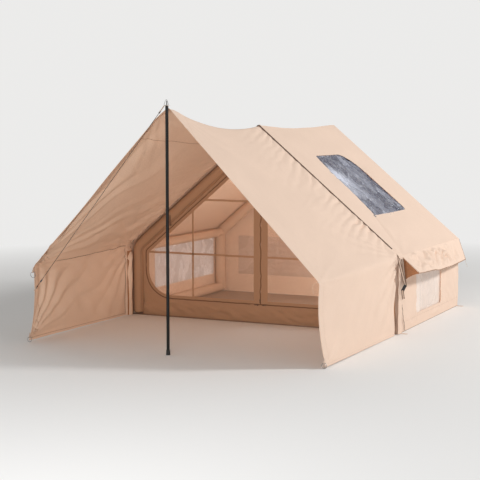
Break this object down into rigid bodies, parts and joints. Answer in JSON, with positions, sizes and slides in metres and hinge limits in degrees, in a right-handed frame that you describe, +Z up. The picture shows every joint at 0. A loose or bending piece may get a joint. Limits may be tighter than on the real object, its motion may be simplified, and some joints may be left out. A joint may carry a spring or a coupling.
{
  "type": "inflatable tent",
  "caption": "Inflatable cabin tent with a zipped-on front canopy, a pole, a guy rope, mesh doors, clear windows, window hoods and air-beam arches.",
  "frame": {"origin": "middle of the groundsheet under its cabin, on the ground", "axes": "+Z up, +X to the right seen from the open front, -Y towards the canopy mouth"},
  "size_m": [3.4103, 4.038, 2.2491],
  "materials": {
    "canvas": "matte",
    "canopy_canvas": "matte",
    "sleeve_canvas": "matte",
    "floor_sheet": "satin",
    "clear_film": "gloss",
    "door_mesh": "matte",
    "webbing": "matte",
    "zip": "satin",
    "cord": "matte",
    "black_steel": "satin",
    "bright_steel": "gloss",
    "rubber": "matte",
    "plastic": "satin"
  },
  "bodies": {
    "tent": {"front_arch_beam": "sleeve_canvas", "front_wall": "sleeve_canvas", "groundsheet": "floor_sheet", "guy_loop": "webbing", "guy_rope": "cord", "guy_strap": "webbing", "left_canopy_roof": "canopy_canvas", "left_canopy_wing": "canopy_canvas", "left_corner_tab": "webbing", "left_door_toggle": "webbing", "left_eave_beam": "sleeve_canvas", "left_floor_beam": "sleeve_canvas", "left_front_peg_loop": "webbing", "left_rear_peg_loop": "webbing", "left_roof_panel": "canvas", "left_wall": "canvas", "left_window_film": "clear_film", "left_wing_tab": "webbing", "left_zip_band": "canvas", "peak_tab": "webbing", "pole_foot": "rubber", "pole_lower": "black_steel", "pole_upper": "black_steel", "rear_arch_beam": "sleeve_canvas", "rear_wall": "canvas", "rear_window_film": "clear_film", "right_canopy_roof": "canopy_canvas", "right_canopy_wing": "canopy_canvas", "right_corner_cord": "cord", "right_door_toggle": "webbing", "right_eave_beam": "sleeve_canvas", "right_floor_beam": "sleeve_canvas", "right_front_peg_loop": "webbing", "right_rear_peg_loop": "webbing", "right_roof_panel": "canvas", "right_wall": "canvas", "right_window_film": "clear_film", "right_wing_tab": "webbing", "right_zip_band": "canvas", "skylight_film": "clear_film", "valve_body": "plastic"},
    "left_door": {"left_door_frame": "sleeve_canvas", "left_door_mesh": "door_mesh"},
    "right_door": {"right_door_frame": "sleeve_canvas", "right_door_mesh": "door_mesh"},
    "door_zip": {"door_zip_slider": "zip"},
    "left_sill_zip": {"left_sill_zip_slider": "zip"},
    "right_sill_zip": {"right_sill_zip_slider": "zip"},
    "left_canopy_zip": {"left_canopy_zip_slider": "zip"},
    "right_canopy_zip": {"right_canopy_zip_slider": "zip"},
    "left_hood": {"left_window_hood": "canvas"},
    "right_hood": {"right_window_hood": "canvas", "right_hood_front_tie": "cord", "right_hood_rear_tie": "cord"},
    "valve_cap_body": {"valve_cap": "plastic"},
    "peak_ring_body": {"peak_ring": "bright_steel"},
    "left_wing_ring_body": {"left_wing_ring": "bright_steel"},
    "right_wing_ring_body": {"right_wing_ring": "bright_steel"},
    "left_corner_ring_body": {"left_corner_ring": "bright_steel"},
    "guy_runner_body": {"guy_runner": "plastic"}
  },
  "joints": [
    {"name": "left_door_hinge", "type": "hinge", "parent": "tent", "child": "left_door", "pos_m": [0, -0.992, 1.8177], "axis": [-0.7657, 0, -0.6432], "range_deg": [0, 60]},
    {"name": "right_door_hinge", "type": "hinge", "parent": "tent", "child": "right_door", "pos_m": [0, -0.992, 1.8177], "axis": [-0.7657, 0, 0.6432], "range_deg": [0, 60]},
    {"name": "door_zip_slide", "type": "slide", "parent": "left_door", "child": "door_zip", "axis": [0, 0, 1], "range_m": [0, 1.5]},
    {"name": "left_sill_zip_slide", "type": "slide", "parent": "tent", "child": "left_sill_zip", "axis": [-1, 0, 0], "range_m": [0, 0.95]},
    {"name": "right_sill_zip_slide", "type": "slide", "parent": "tent", "child": "right_sill_zip", "axis": [1, 0, 0], "range_m": [0, 0.95]},
    {"name": "left_canopy_zip_slide", "type": "slide", "parent": "tent", "child": "left_canopy_zip", "axis": [0.7657, 0, 0.6432], "range_m": [0, 1.8]},
    {"name": "right_canopy_zip_slide", "type": "slide", "parent": "tent", "child": "right_canopy_zip", "axis": [-0.7657, 0, 0.6432], "range_m": [0, 1.8]},
    {"name": "left_hood_hinge", "type": "hinge", "parent": "tent", "child": "left_hood", "pos_m": [-1.5023, 0, 0.76], "axis": [0, 1, 0], "range_deg": [-15, 55]},
    {"name": "right_hood_hinge", "type": "hinge", "parent": "tent", "child": "right_hood", "pos_m": [1.5023, 0, 0.76], "axis": [0, -1, 0], "range_deg": [-15, 55]},
    {"name": "valve_cap_turn", "type": "hinge", "parent": "tent", "child": "valve_cap_body", "pos_m": [1.3754, 0.9857, 0.25], "axis": [-1, 0, 0], "range_deg": [0, 90]},
    {"name": "peak_ring_hinge", "type": "hinge", "parent": "tent", "child": "peak_ring_body", "pos_m": [0, -2.9725, 2.1983], "axis": [1, 0, 0], "range_deg": [-60, 85]},
    {"name": "left_wing_ring_hinge", "type": "hinge", "parent": "tent", "child": "left_wing_ring_body", "pos_m": [-1.47984, -2.9576, 0.0485], "axis": [-1, 0, 0], "range_deg": [0, 80]},
    {"name": "right_wing_ring_hinge", "type": "hinge", "parent": "tent", "child": "right_wing_ring_body", "pos_m": [1.47984, -2.9576, 0.0485], "axis": [-1, 0, 0], "range_deg": [0, 80]},
    {"name": "left_corner_ring_hinge", "type": "hinge", "parent": "tent", "child": "left_corner_ring_body", "pos_m": [-1.43, -2.9576, 0.666], "axis": [-1, 0, 0], "range_deg": [0, 80]},
    {"name": "guy_runner_slide", "type": "slide", "parent": "tent", "child": "guy_runner_body", "axis": [0.6329, -0.0027, 0.7743], "range_m": [0, 1.5]}
  ]
}
